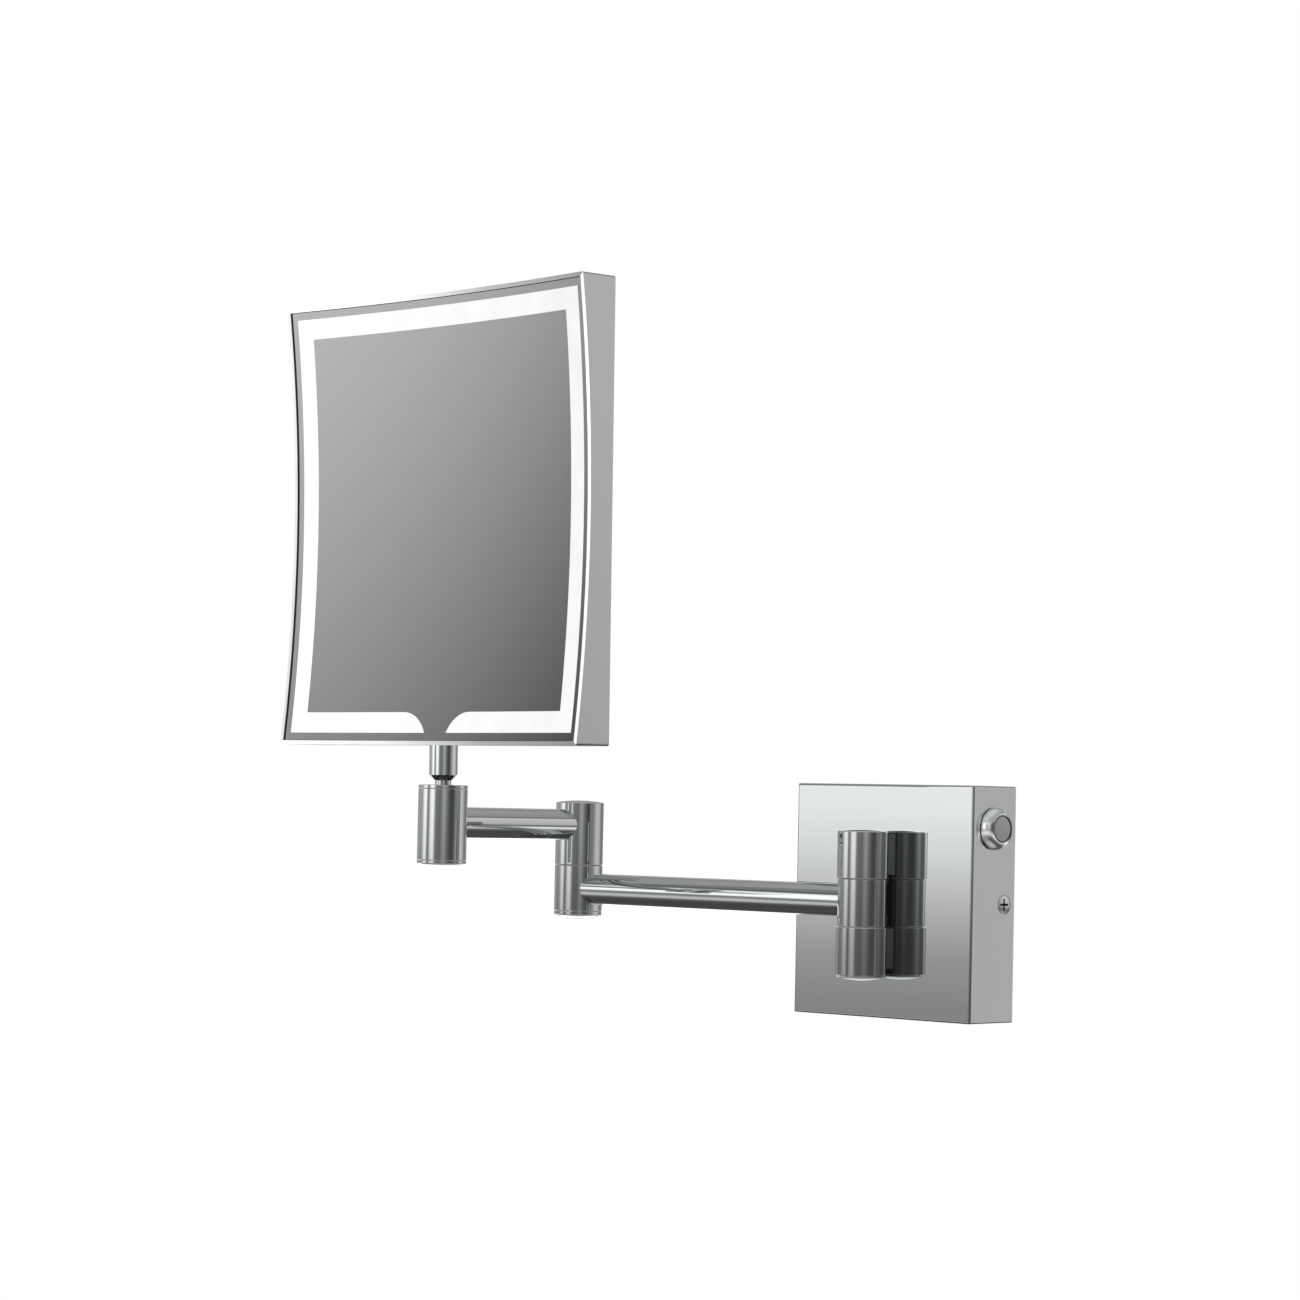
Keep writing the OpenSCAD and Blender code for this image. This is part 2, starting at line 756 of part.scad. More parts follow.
module stem() {
    foot = head_up - half;
    spigot_top = foot + spigot_h;
    color("gainsboro") on_stem_axis() difference() {
        union() {
            translate([0, 0, neck_top]) cylinder(r1 = neck_r, r2 = stem_r, h = cone_top - neck_top);
            translate([0, 0, cone_top]) cylinder(r = stem_r, h = foot - cone_top);
            difference() {
                translate([0, 0, 6]) cylinder(r = neck_r, h = neck_top - 6 + eps);
                sphere(r = ball_r);
            }
            translate([0, 0, 5]) cylinder(r = spigot_r, h = spigot_top - 5);
        }
        translate([0, 0, 4]) cylinder(r = lead_bore_r, h = spigot_top);
    }
}

module stem_screw() {
    color("silver") head_frame_of() translate([0, stem_y + spigot_r, -half + set_screw_z])
        rotate([-90, 0, 0]) difference() {
            cylinder(r = set_screw_r, h = set_screw_l);
            translate([0, 0, set_screw_l - set_screw_hex[1]])
                cylinder(r = set_screw_hex[0], h = 2, $fn = 6);
        }
}

// ---------- head ----------

// Slab between two concentric spheres behind the mirror face, from depth a to depth b
module face_shell(a, b) {
    difference() {
        translate([0, face_y, 0]) sphere(r = mirror_radius + b, $fn = 360);
        translate([0, face_y, 0]) sphere(r = mirror_radius + a, $fn = 360);
    }
}

// Extrudes an outline in X and Z back through the head's depth from y0 to y1
module deep(y0, y1) {
    translate([0, y1, 0]) rotate([90, 0, 0]) linear_extrude(y1 - y0) children();
}

module square_ring(outer, inner) {
    difference() {
        square(2 * outer, center = true);
        square(2 * inner, center = true);
    }
}

// The lit band, broken at the bottom middle by a funnel-shaped neck of mirror
module band_outline(grow = 0) {
    outer = half - band_inset;
    inner = outer - band_w;
    difference() {
        square_ring(outer + grow, inner - grow);
        difference() {
            translate([-notch_x, -outer - 1]) square([2 * notch_x, band_w + 2]);
            for (s = [-1, 1]) translate([s * notch_x, -inner - notch_r]) circle(r = notch_r + grow);
        }
    }
}

// Block behind the glass and its seal that takes the stem's spigot
module spigot_block() {
    difference() {
        translate([-stem_block[0] / 2, 0, -half + rim_w - eps])
            cube([stem_block[0], head_d - cover_t - 0.1, stem_block[1]]);
        translate([0, face_y, 0]) sphere(r = mirror_radius + glass_back + seal_t + 0.1, $fn = 360);
    }
}

// What is cut away in front of the rims, which curve like the mirror along the head's sides
// and are flat across their own width
module rim_front(inner) {
    curve_r = sqrt(mirror_radius * mirror_radius - half * half);
    for (turn = [0, 90]) rotate([0, turn, 0]) for (s = [-1, 1]) intersection() {
        translate([0, face_y, 0]) rotate([0, 90, 0])
            cylinder(r = curve_r, h = 2 * head_w, center = true, $fn = 360);
        translate([s * (inner + half), 0, 0]) cube([head_w, head_w, 2 * head_w], center = true);
    }
}

module head_frame() {
    inner = half - rim_w;
    ledge = inner - ledge_w;
    color("gainsboro") head_frame_of() difference() {
        union() {
            intersection() {
                translate([0, head_d, 0]) soft_box(head_w, 2 * head_d, head_edge);
                deep(-eps, head_d) square_ring(half, inner);
            }
            intersection() {
                deep(0, head_d) square_ring(inner + eps, ledge);
                face_shell(glass_back + seal_t, glass_back + seal_t + ledge_t);
            }
            corner_posts(0);
            spigot_block();
        }
        rim_front(inner - eps);
        for (x = [-1, 1], z = [-1, 1]) translate([x * boss_at, head_d + 1, z * boss_at])
            rotate([90, 0, 0]) cylinder(r = back_screw_r, h = 9);
        translate([0, stem_y, -half - 1]) cylinder(r = spigot_r, h = 20);
        translate([0, stem_y, -half + set_screw_z]) rotate([-90, 0, 0])
            cylinder(r = set_screw_r, h = 6);
    }
}

// Square posts in the frame's corners, which the back cover is screwed to
module corner_posts(room) {
    low = boss_at - 3.6 - room;
    high = half - rim_w + eps;
    deep(head_d - cover_t - 8, head_d - cover_t) for (x = [-1, 1], z = [-1, 1])
        translate([x * (low + high) / 2, z * (low + high) / 2]) square(high - low, center = true);
}

module mirror_glass() {
    color("lightgray") head_frame_of() intersection() {
        deep(-1, head_d) difference() {
            square(head_w - 2 * rim_w - 0.4, center = true);
            band_outline(0.02);
        }
        face_shell(recess, glass_back);
    }
}

module light_window() {
    color("white") head_frame_of() intersection() {
        deep(-1, head_d) band_outline();
        face_shell(recess, glass_back);
    }
}

module glass_seal() {
    inner = half - rim_w;
    color("dimgray") head_frame_of() difference() {
        intersection() {
            deep(-1, head_d) square_ring(inner - 0.3, inner - 2.8);
            face_shell(glass_back, glass_back + seal_t);
        }
        translate([0, stem_y, -half]) cylinder(r = spigot_r + 0.2, h = 10);
    }
}

module stem_gap(w, depth) {
    translate([-w, -1, -half]) cube([2 * w, 30, depth]);
}

module diffuser() {
    color("ivory") head_frame_of() difference() {
        intersection() {
            deep(-1, head_d) square_ring(half - band_inset - 0.4, half - band_inset - band_w - 4);
            face_shell(glass_back + diffuser_gap, glass_back + diffuser_gap + diffuser_t);
        }
        stem_gap(15, 22);
    }
}

module each_side() {
    for (i = [0 : 3]) rotate([0, 90 * i, 0]) children();
}

module led_boards() {
    color("whitesmoke") head_frame_of() difference() {
        each_side() translate([-led_row / 2, board_y - 1, half - board_in])
            cube([led_row, 1, board_w]);
        stem_gap(11, 20);
    }
}

module led_chips() {
    pitch = (led_row - 2) / leds_per_side;
    row_z = half - board_in + (board_w - led_w) / 2;
    color("khaki") head_frame_of() difference() {
        each_side() for (i = [0 : leds_per_side - 1])
            translate([(i + 0.5 - leds_per_side / 2) * pitch - led_w / 2, board_y - 1 - led_h, row_z])
            cube([led_w, led_h, led_w]);
        stem_gap(18, 20);
    }
}

module led_tray() {
    color("white") head_frame_of() difference() {
        union() {
            deep(board_y, board_y + 1.5) square_ring(half - 5.6, half - tray_in);
            deep(board_y - 2.2, board_y + 0.1) square_ring(half - tray_wall_in, half - tray_wall_in - 1.5);
            for (x = [-1, 1], z = [-1, 1])
                translate([x * (half - tray_foot_in), board_y + 1, z * (half - tray_foot_in)])
                rotate([-90, 0, 0]) cylinder(r = 4, h = head_d - cover_t - board_y - 1);
        }
        stem_gap(10, 15);
        corner_posts(0.5);
    }
}

module back_cover() {
    color("gainsboro") head_frame_of() difference() {
        deep(head_d - cover_t, head_d) square(head_w - 2 * rim_w - 0.3, center = true);
        for (x = [-1, 1], z = [-1, 1]) translate([x * boss_at, head_d - cover_t - eps, z * boss_at])
            rotate([-90, 0, 0]) cylinder(r1 = back_screw_r + 0.15, r2 = back_screw_head_r + 0.15,
                h = cover_t + 2 * eps);
    }
}

module back_screws() {
    color("silver") head_frame_of() for (x = [-1, 1], z = [-1, 1])
        translate([x * boss_at, head_d - 0.05, z * boss_at]) rotate([90, 0, 0]) difference() {
            union() {
                cylinder(r1 = back_screw_head_r, r2 = back_screw_r, h = cover_t - 0.1);
                cylinder(r = back_screw_r, h = back_screw_l);
            }
            for (a = [0, 90]) rotate([0, 0, a]) translate([-1.5, -0.3, -1]) cube([3, 0.6, 1.9]);
        }
}

module lead_head() {
    turn_z = -half + lead_turn[0];
    color("black") head_frame_of() lead([[0, stem_y, 0.4 - head_up], [0, stem_y, turn_z],
        [lead_turn[1], stem_y, turn_z], [lead_turn[1], board_y - 1, turn_z]], lead_r);
}

mounting_plate();
cable_grommet();
terminal_block();
terminal_screws();
led_driver();
driver_screws();
internal_wires();
cover();
side_screws();
switch_bezel();
switch_seal();
switch_nut();
switch_body();
switch_terminals();
switch_spring();
backing_plate();
lug_screws();
upper_lug();
lower_lug();
wall_pin();
wall_washers();
pin_cap();
lead_wall();
switch_button();
arm1_barrel();
arm1_tube();
elbow_lower();
elbow_cap();
lead_arm1();
elbow_upper();
elbow_pin();
elbow_nut();
elbow_springs();
elbow_washer();
arm2_tube();
socket_barrel();
socket_collar();
pressure_cup();
cup_springs();
socket_plug();
lead_arm2();
ball_seat();
lead_bush();
ball();
stem();
stem_screw();
head_frame();
mirror_glass();
light_window();
glass_seal();
diffuser();
led_boards();
led_chips();
led_tray();
back_cover();
back_screws();
lead_head();
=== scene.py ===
"""Extendable shaving mirror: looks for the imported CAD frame.

Metres, in the frame of the CAD: origin at the middle of the wall box on the wall plane,
+X to the right, -Y out of the wall, +Z up.
"""

import json
import math

import bpy
from mathutils import Matrix, Vector

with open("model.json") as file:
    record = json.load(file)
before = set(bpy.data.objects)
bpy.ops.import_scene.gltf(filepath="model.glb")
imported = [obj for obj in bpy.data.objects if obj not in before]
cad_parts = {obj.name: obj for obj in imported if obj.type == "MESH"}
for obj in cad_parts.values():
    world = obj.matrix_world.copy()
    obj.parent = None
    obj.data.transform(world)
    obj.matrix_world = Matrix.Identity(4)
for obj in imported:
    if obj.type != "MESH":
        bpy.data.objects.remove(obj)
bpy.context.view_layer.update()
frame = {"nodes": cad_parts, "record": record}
NODES = frame["nodes"]
SLOT_OF = {s["node"]: s["material_slot"] for s in frame["record"]["subparts"]}
X, Y, Z = Vector((1, 0, 0)), Vector((0, 1, 0)), Vector((0, 0, 1))

# ---------- places and sizes that the CAD gives, in metres ----------

BOX_W, BOX_D, BOX_EDGE = 0.100, 0.028, 0.001
HINGE = Vector((0.0, -0.0407, 0.0))
ELBOW = Vector((-0.174, -0.0407, 0.0))
SOCKET = Vector((-0.174, -0.1253, 0.0))
SWITCH = Vector((0.050, -0.014, 0.032))
SIDE_SCREWS = Vector((0.0, -0.0066, 0.0))
SIDE_SCREW_R = 0.0042
SIDE_SCREW_HEAD_X = BOX_W / 2 - 0.00005
BARREL_R, EYE_R, TUBE_R, TUBE_BORE_R = 0.0109, 0.0104, 0.007, 0.0055
STEM_R, NECK_R, BALL_R = 0.0063, 0.0036, 0.008
ARM2_Z = 0.0292
PLAIN_EDGE = 0.00025
BARREL_DOME, CAP_DOME = 0.00085, 0.0015
HEAD_W = 0.201
HALF = HEAD_W / 2
HEAD_EDGE, RIM_W = 0.0011, 0.0019
MIRROR_R, RECESS, GLASS_T, SEAL_T = 0.800, 0.0005, 0.0028, 0.0008
DIFFUSER_GAP, DIFFUSER_T = 0.0007, 0.0018
BAND_INSET, BAND_W = 0.0055, 0.0092
NOTCH_R, NOTCH_AT = 0.01625, 0.022
GLASS_BACK = RECESS + GLASS_T
FACE_Y = -math.sqrt(MIRROR_R ** 2 - 2 * HALF ** 2)
HEAD_PAN, HEAD_TILT = math.radians(-1.2), math.radians(0.6)
HEAD_TURN = Matrix.Rotation(HEAD_PAN, 3, "Z") @ Matrix.Rotation(HEAD_TILT, 3, "X")
BALL_UP, STEM_Y, HEAD_UP = 0.037, 0.0129, 0.1269
BALL = SOCKET + BALL_UP * Z
HEAD_AT = BALL + HEAD_TURN @ Vector((0, -STEM_Y, HEAD_UP))


def head_point(x, y, z):
    """A point of the head's own frame: y runs back from the plane of its four front corners."""
    return HEAD_AT + HEAD_TURN @ Vector((x, y, z))


# ---------- camera ----------

CAMERA_AT = (1.05073, -1.22387, 0.03857)
CAMERA_YAW, CAMERA_PITCH, CAMERA_ROLL = (math.radians(a) for a in (44.96, 2.41, 1.23))
CAMERA_LENS, CAMERA_SENSOR = 102.53, 36


def make_camera():
    ahead = Vector((-math.sin(CAMERA_YAW) * math.cos(CAMERA_PITCH),
                    math.cos(CAMERA_YAW) * math.cos(CAMERA_PITCH), math.sin(CAMERA_PITCH)))
    level = Vector((math.cos(CAMERA_YAW), math.sin(CAMERA_YAW), 0))
    upright = level.cross(ahead)
    right = math.cos(CAMERA_ROLL) * level + math.sin(CAMERA_ROLL) * upright
    up = math.cos(CAMERA_ROLL) * upright - math.sin(CAMERA_ROLL) * level
    data = bpy.data.cameras.new("Camera")
    data.lens = CAMERA_LENS
    data.sensor_width = CAMERA_SENSOR
    data.clip_start = 0.01
    camera = bpy.data.objects.new("Camera", data)
    bpy.context.scene.collection.objects.link(camera)
    turn = Matrix((right, up, -ahead)).transposed().to_4x4()
    camera.matrix_world = Matrix.Translation(CAMERA_AT) @ turn
    bpy.context.scene.camera = camera


# ---------- node helpers ----------

class Tree:
    """Short calls for building one node tree."""

    def __init__(self, tree):
        self.tree = tree
        tree.nodes.clear()

    def add(self, kind, **inputs):
        node = self.tree.nodes.new(kind)
        for key, value in inputs.items():
            if hasattr(node, key) and key not in node.inputs:
                setattr(node, key, value)
            else:
                self.put(node.inputs[key], value)
        return node

    def put(self, socket, value):
        if isinstance(value, bpy.types.NodeSocket):
            self.tree.links.new(value, socket)
        else:
            socket.default_value = value

    def math(self, operation, a, b=0.0, c=0.0):
        node = self.tree.nodes.new("ShaderNodeMath")
        node.operation = operation
        for socket, value in zip(node.inputs, (a, b, c)):
            self.put(socket, value)
        return node.outputs[0]

    def remap(self, value, low, high, to_low=0.0, to_high=1.0, kind="LINEAR"):
        node = self.tree.nodes.new("ShaderNodeMapRange")
        node.interpolation_type = kind
        for name, v in (("Value", value), ("From Min", low), ("From Max", high),
                        ("To Min", to_low), ("To Max", to_high)):
            self.put(node.inputs[name], v)
        return node.outputs["Result"]

    def ramp(self, value, stops):
        """Grey or coloured ramp through (position, value) stops."""
        node = self.tree.nodes.new("ShaderNodeValToRGB")
        ramp = node.color_ramp
        while len(ramp.elements) > 1:
            ramp.elements.remove(ramp.elements[-1])
        for i, (at, v) in enumerate(stops):
            element = ramp.elements[0] if i == 0 else ramp.elements.new(at)
            element.position = at
            rgb = v if isinstance(v, tuple) else (v, v, v)
            element.color = (*rgb, 1.0)
        self.put(node.inputs["Fac"], value)
        return node.outputs["Color"]

    def mix(self, a, b, factor):
        return self.math("ADD", self.math("MULTIPLY", a, self.math("SUBTRACT", 1.0, factor)),
                         self.math("MULTIPLY", b, factor))

    def grey(self, level):
        return self.add("ShaderNodeCombineColor", Red=level, Green=level, Blue=level).outputs[0]

    def axis(self, vector, name):
        return self.add("ShaderNodeSeparateXYZ", Vector=vector).outputs[name]

    def from_x_line(self, place, at):
        """Distance from the line along X through a point."""
        y, z = (self.math("SUBTRACT", self.axis(place, name), value)
                for name, value in (("Y", at.y), ("Z", at.z)))
        return self.math("SQRT", self.math("ADD", self.math("POWER", y, 2.0),
                                           self.math("POWER", z, 2.0)))


# ---------- light: what the chrome mirrors ----------

# Brightness of the studio above its horizon, by direction in degrees: 0 is -Y, 90 is +X
AROUND = [(-180, 0.22), (-150, 0.28), (-110, 0.30), (-97, 0.41), (-75, 0.41), (-64, 0.44),
          (-55, 0.69), (-47, 1.22), (-37, 1.27), (-33, 1.00), (-28, 0.36), (-23, 0.25),
          (-19, 0.34), (-12, 0.98), (-5, 1.24), (3, 1.24), (8, 0.86), (13, 0.32), (20, 0.22),
          (38, 0.18), (48, 0.35), (56, 0.44), (66, 0.25), (76, 0.13), (87, 0.06), (101, 0.08),
          (113, 0.26), (121, 0.30), (132, 0.55), (147, 0.63), (160, 0.50), (172, 0.25)]
# Brightness far above and below eye level, by elevation in degrees
ABOVE_BELOW = [(-90, 0.50), (-66, 0.45), (-56, 0.12), (-44, 0.07), (-35, 0.10), (-30, 0.25),
               (-25, 0.63), (-20, 0.72), (-15, 0.50), (-10, 0.26), (-5, 0.28), (25, 0.83),
               (29, 0.45), (31, 0.20), (33, 0.20), (36, 0.36), (45, 0.39), (60, 0.58), (90, 0.60)]
# How much of the brightness above shows from under the horizon to over it
HORIZON = [(0.0, 0.0), (0.2, 0.05), (0.36, 0.16), (0.52, 0.42), (0.68, 0.75), (0.8, 0.93),
           (0.92, 1.0)]
UNDER_SHARE, UNDER_BASE = 0.20, 0.055
LEFT_GAIN, WALL_GAIN = 1.2, 0.8


def make_world():
    world = bpy.data.worlds.new("Studio")
    bpy.context.scene.world = world
    world.use_nodes = True
    t = Tree(world.node_tree)
    direction = t.add("ShaderNodeTexCoord").outputs["Generated"]
    around = t.math("ARCTAN2", t.axis(direction, "X"),
                    t.math("MULTIPLY", t.axis(direction, "Y"), -1.0))
    turn = t.math("MULTIPLY_ADD", around, 0.5 / math.pi, 0.5)
    rise = t.math("MULTIPLY", t.math("ARCSINE", t.axis(direction, "Z")), 180 / math.pi)
    level = t.ramp(turn, [(a / 360 + 0.5, v) for a, v in AROUND])
    far = t.ramp(t.math("MULTIPLY_ADD", rise, 1 / 180, 0.5),
                 [(e / 180 + 0.5, v) for e, v in ABOVE_BELOW])
    # the bright walls end at a soft horizon, which lies lower on the wall side of the room
    back = t.remap(t.math("ABSOLUTE", around), math.radians(80), math.radians(115))
    height = t.math("ADD", rise, t.math("MULTIPLY", back, 4.0))
    horizon = t.ramp(t.remap(height, -4.0, 1.0), HORIZON)
    under = t.math("MULTIPLY_ADD", level, UNDER_SHARE, UNDER_BASE)
    over = t.math("MULTIPLY", level, t.remap(rise, 1.0, 7.0, 1.0, 1.15))
    near = t.mix(under, over, horizon)
    into_far = t.math("MAXIMUM", t.remap(rise, 16.0, 30.0),
                      t.remap(t.math("MULTIPLY", height, -1.0), 5.0, 10.0))
    studio = t.mix(near, far, into_far)

    def between(value, low, high, soft):
        return t.math("MULTIPLY", t.remap(value, low - soft, low, kind="SMOOTHSTEP"),
                      t.remap(value, high, high + soft, 1.0, 0.0, "SMOOTHSTEP"))

    # two paler things near the ground: one to the left, one by the wall
    left = t.math("MULTIPLY", between(around, math.radians(-150), math.radians(-60), 0.1),
                  between(rise, -29.0, -13.0, 3.0))
    by_wall = t.math("MULTIPLY", back, between(rise, -20.0, -16.0, 2.0))
    studio = t.math("MULTIPLY", studio, t.math("MULTIPLY_ADD", left, LEFT_GAIN, 1.0))
    studio = t.math("MULTIPLY", studio, t.math("MULTIPLY_ADD", by_wall, WALL_GAIN, 1.0))
    seen = t.add("ShaderNodeLightPath").outputs["Is Camera Ray"]
    lit = t.add("ShaderNodeBackground", Color=t.grey(studio), Strength=1.0)
    white = t.add("ShaderNodeBackground", Color=(1, 1, 1, 1), Strength=1.0)
    mixed = t.add("ShaderNodeMixShader", Fac=seen)
    t.put(mixed.inputs[1], lit.outputs[0])
    t.put(mixed.inputs[2], white.outputs[0])
    t.add("ShaderNodeOutputWorld", Surface=mixed.outputs[0])


def add_sheet(name, corners, material):
    mesh = bpy.data.meshes.new(name)
    mesh.from_pydata([tuple(c) for c in corners], [], [(0, 1, 2, 3)])
    mesh.update()
    mesh.materials.append(material)
    sheet = bpy.data.objects.new(name, mesh)
    bpy.context.scene.collection.objects.link(sheet)
    return sheet


CARD_AHEAD, CARD_ACROSS = Vector((-0.7066, -0.7076, 0)), Vector((-0.7076, 0.7066, 0))
CARD_AT = Vector((-0.087, -0.060, 0)) + 0.8 * CARD_AHEAD + 0.103 * CARD_ACROSS + 0.213 * Z
CARD_WIDE, CARD_TALL, CARD_EDGE = 0.135, 0.065, 0.02
# The card's brightness is the exponential of a quadratic in the place on it, times this
CARD_GLOW = 0.311
CARD_U, CARD_UU, CARD_V, CARD_VV, CARD_UV = -6.24, -15.6, 13.32, -85.7, 59.7


def make_reflector():
    """A graded card in front and to the left, which only the hollow mirror looks at."""
    corners = [CARD_AT + sx * CARD_WIDE * CARD_ACROSS + sz * CARD_TALL * Z
               for sx, sz in ((-1, -1), (1, -1), (1, 1), (-1, 1))]
    material = bpy.data.materials.new("graded_card")
    material.use_nodes = True
    t = Tree(material.node_tree)
    place = t.add("ShaderNodeNewGeometry").outputs["Position"]

    def along(direction):
        offset = t.add("ShaderNodeVectorMath", operation="SUBTRACT")
        t.put(offset.inputs[0], place)
        t.put(offset.inputs[1], tuple(CARD_AT))
        dot = t.add("ShaderNodeVectorMath", operation="DOT_PRODUCT")
        t.put(dot.inputs[0], offset.outputs[0])
        t.put(dot.inputs[1], tuple(direction))
        return dot.outputs["Value"]

    u, v = along(CARD_ACROSS), along(Z)
    power_u = t.math("MULTIPLY", u, t.math("MULTIPLY_ADD", u, CARD_UU, CARD_U))
    power_v = t.math("MULTIPLY", v, t.math("MULTIPLY_ADD", v, CARD_VV, CARD_V))
    power_uv = t.math("MULTIPLY", t.math("MULTIPLY", u, v), CARD_UV)
    power = t.math("ADD", t.math("ADD", power_u, power_v), power_uv)
    glow = t.math("MULTIPLY", t.math("EXPONENT", power), CARD_GLOW)
    inside_u, inside_v = (
        t.remap(t.math("ABSOLUTE", at), half - CARD_EDGE, half, 1.0, 0.0, "SMOOTHSTEP")
        for at, half in ((u, CARD_WIDE), (v, CARD_TALL)))
    emission = t.add("ShaderNodeEmission", Strength=glow)
    mixed = t.add("ShaderNodeMixShader", Fac=t.math("MULTIPLY", inside_u, inside_v))
    t.put(mixed.inputs[1], t.add("ShaderNodeBsdfTransparent").outputs[0])
    t.put(mixed.inputs[2], emission.outputs[0])
    t.add("ShaderNodeOutputMaterial", Surface=mixed.outputs[0])
    card = add_sheet("GradedCard", corners, material)
    card.visible_camera = card.visible_diffuse = card.visible_shadow = False


# Soft lights: name, place, side, power
LIGHTS = [("Overhead", Vector((0.4, -0.7, 1.6)), 1.6, 26.0),
          ("Front", Vector((0.9, -1.8, 0.7)), 1.0, 10.0)]
LIT_POINT = Vector((-0.1, -0.05, 0.0))


def make_lights():
    for name, at, size, power in LIGHTS:
        data = bpy.data.lights.new(name, "AREA")
        data.shape = "SQUARE"
        data.size = size
        data.energy = power
        light = bpy.data.objects.new(name, data)
        bpy.context.scene.collection.objects.link(light)
        light.location = at
        light.rotation_mode = "QUATERNION"
        light.rotation_quaternion = (at - LIT_POINT).to_track_quat("Z", "Y")
        light.visible_camera = light.visible_glossy = False


FLOOR_HALF, FLOOR_Z = 3.0, -0.8


def make_floor():
    material = bpy.data.materials.new("floor_paint")
    material.use_nodes = True
    t = Tree(material.node_tree)
    place = t.add("ShaderNodeTexCoord").outputs["Object"]
    cloud = t.add("ShaderNodeTexNoise", Vector=place, Scale=1.5, Detail=4.0).outputs["Fac"]
    colour = t.grey(t.remap(cloud, 0.0, 1.0, 0.88, 0.92))
    shader = t.add("ShaderNodeBsdfPrincipled", **{"Base Color": colour}, Roughness=0.9)
    t.add("ShaderNodeOutputMaterial", Surface=shader.outputs[0])
    corners = [(sx * FLOOR_HALF, sy * FLOOR_HALF, FLOOR_Z)
               for sx, sy in ((-1, -1), (1, -1), (1, 1), (-1, 1))]
    floor = add_sheet("Floor", corners, material)
    floor.visible_glossy = False


# ---------- materials ----------

def material_of(name, build):
    material = bpy.data.materials.new(name)
    material.use_nodes = True
    t = Tree(material.node_tree)
    shader = t.add("ShaderNodeBsdfPrincipled")
    place = t.add("ShaderNodeTexCoord").outputs["Object"]
    build(t, shader, place)
    t.add("ShaderNodeOutputMaterial", Surface=shader.outputs[0])
    return material


def noise(t, place, scale, detail=3.0, rough=0.5):
    return t.add("ShaderNodeTexNoise", Vector=place, Scale=scale, Detail=detail,
                 Roughness=rough).outputs["Fac"]


def shades(t, shader, factor, low, high):
    """Base colour between two colours."""
    t.put(shader.inputs["Base Color"], t.ramp(factor, [(0.0, low), (1.0, high)]))


def bump(t, shader, height, distance, strength=1.0):
    node = t.add("ShaderNodeBump", Height=height, Distance=distance, Strength=strength)
    t.put(shader.inputs["Normal"], node.outputs["Normal"])


def stretched(t, place, scale):
    return t.add("ShaderNodeMapping", Vector=place, Scale=scale).outputs["Vector"]


def speckle(t, place, scale, detail, low, high):
    """A value that wanders between low and high over the surface."""
    return t.remap(noise(t, place, scale, detail), 0.3, 0.7, low, high)


def grey_green(t, shader, shade):
    """Base colour: the shade with chrome's faint cool green."""
    parts = {name: t.math("MULTIPLY", shade, tint)
             for name, tint in (("Red", 0.985), ("Green", 1.019), ("Blue", 1.008))}
    t.put(shader.inputs["Base Color"], t.add("ShaderNodeCombineColor", **parts).outputs[0])


def give_off(t, shader, strength):
    """White emission: the light band's own light, and painted light where chrome asks for it."""
    shader.inputs["Emission Color"].default_value = (1, 1, 1, 1)
    t.put(shader.inputs["Emission Strength"], strength)


def chrome_of(level, dim=None, glow=None, rough=(0.004, 0.014)):
    """Chrome that mirrors this share of the light, with painted shade and painted light by place
    where asked.

    dim is a function of place that paints shade, and glow a number or a function of place that
    paints light as emission.
    """
    def build(t, shader, place):
        shade = t.remap(noise(t, place, 35, 2), 0.0, 1.0, level, level * 1.022)
        if dim:
            shade = t.math("MULTIPLY", shade, dim(t, place))
        grey_green(t, shader, shade)
        shader.inputs["Metallic"].default_value = 1.0
        t.put(shader.inputs["Roughness"], t.remap(noise(t, place, 90, 5, 0.6), 0.35, 0.75, *rough))
        if glow:
            strength = glow(t, place) if callable(glow) else glow
            give_off(t, shader, t.math("MULTIPLY", strength, speckle(t, place, 60, 1, 0.95, 1.05)))
    return build


def painted_shade_behind_hinge(t, place):
    """Painted shade: darker on the side turned to the wall box, where shade falls."""
    return t.remap(t.axis(place, "Y"), HINGE.y + 0.002, HINGE.y + 0.009, 1.0, 0.5, "SMOOTHSTEP")


def painted_shade_under_stem(t, place):
    """Painted shade: dark on the cone under the stem's foot, where shade falls."""
    height, foot = t.axis(place, "Z"), BALL.z + 0.0134
    return t.math("MAXIMUM", t.remap(height, foot - 0.0006, foot, 0.25, 1.0, "SMOOTHSTEP"),
                  t.remap(height, foot - 0.0028, foot - 0.0022, 1.0, 0.25, "SMOOTHSTEP"))


def painted_light_under_cap(t, place):
    """Painted light: the dome under the wall hinge glows, standing for light caught from below."""
    return t.remap(t.axis(place, "Z"), -0.0330, -0.0323, 0.40, 0.0, "SMOOTHSTEP")


def painted_light_beside_bezel(t, place):
    """Painted light: the front of the switch's ring glows, standing for light off the cover."""
    return t.remap(t.axis(place, "Y"), SWITCH.y - 0.0082, SWITCH.y - 0.0066, 0.20, 0.0,
                   "SMOOTHSTEP")


def painted_light_of_long_rims(t, place):
    """Painted light: the top and bottom rims glow, more towards the left."""
    return t.remap(t.axis(place, "X"), HEAD_AT.x - HALF, HEAD_AT.x + 0.03, 0.30, 0.0)


def screw_head(t, shader, place):
    """Bright head with painted shade: a darker ring where it meets its countersink."""
    # painted shade: the head darkens at its edge, in the crevice by the countersink
    ring = t.remap(t.from_x_line(place, SIDE_SCREWS), 0.0034, 0.0040, 1.0, 0.50, "SMOOTHSTEP")
    shade = t.math("MULTIPLY", speckle(t, place, 400, 3, 0.70, 0.80), ring)
    t.put(shader.inputs["Base Color"], t.grey(shade))
    shader.inputs["Metallic"].default_value = 1.0
    t.put(shader.inputs["Roughness"], speckle(t, place, 900, 2, 0.10, 0.16))


